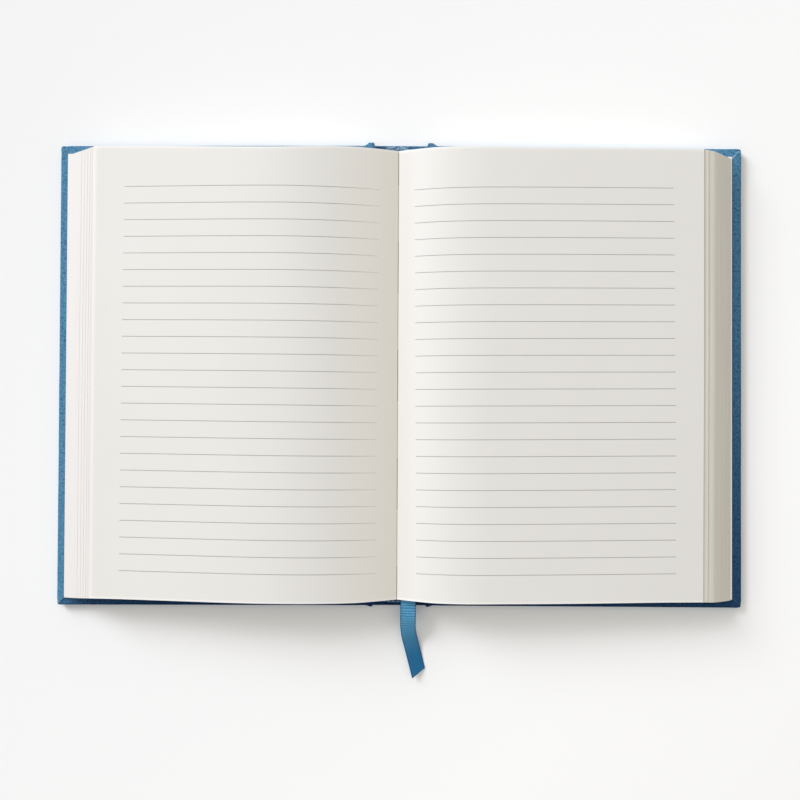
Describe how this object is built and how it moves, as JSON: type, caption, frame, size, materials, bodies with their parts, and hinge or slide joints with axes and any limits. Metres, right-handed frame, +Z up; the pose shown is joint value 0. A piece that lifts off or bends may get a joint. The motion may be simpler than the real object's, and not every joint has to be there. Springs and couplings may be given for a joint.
{
  "type": "open composition notebook",
  "caption": "Case-bound ruled notebook lying open at its middle, with blue cloth covers on two hinges, arched text block and a ribbon marker hanging out at the foot",
  "frame": {"origin": "on the table under the middle of the spine, which is the middle of the opened case's underside", "axes": "+X runs across the opening from the front half to the back half, +Y towards the head of the page, +Z up out of the open pages"},
  "size_m": [0.324, 0.2544, 0.0179],
  "materials": {
    "page_paper": "matte",
    "endpaper": "matte",
    "board": "matte",
    "book_cloth": "matte",
    "mull": "matte",
    "band": "satin",
    "ribbon": "satin",
    "thread": "matte"
  },
  "bodies": {
    "text_block": {"pages": "page_paper", "front_flyleaf": "endpaper", "back_flyleaf": "endpaper", "spine_board": "board", "spine_cloth": "book_cloth", "spine_lining": "mull", "head_band": "band", "tail_band": "band", "ribbon_marker": "ribbon", "stitch_1": "thread", "stitch_2": "thread", "stitch_3": "thread", "stitch_4": "thread"},
    "front_cover": {"front_board": "board", "front_cover_cloth": "book_cloth", "front_pastedown": "endpaper"},
    "back_cover": {"back_board": "board", "back_cover_cloth": "book_cloth", "back_pastedown": "endpaper"}
  },
  "joints": [
    {"name": "front_cover_hinge", "type": "hinge", "parent": "text_block", "child": "front_cover", "pos_m": [-0.0145, 0, 0], "axis": [0, -1, 0], "range_deg": [0, 90]},
    {"name": "back_cover_hinge", "type": "hinge", "parent": "text_block", "child": "back_cover", "pos_m": [0.0145, 0, 0], "axis": [0, 1, 0], "range_deg": [0, 90]}
  ]
}
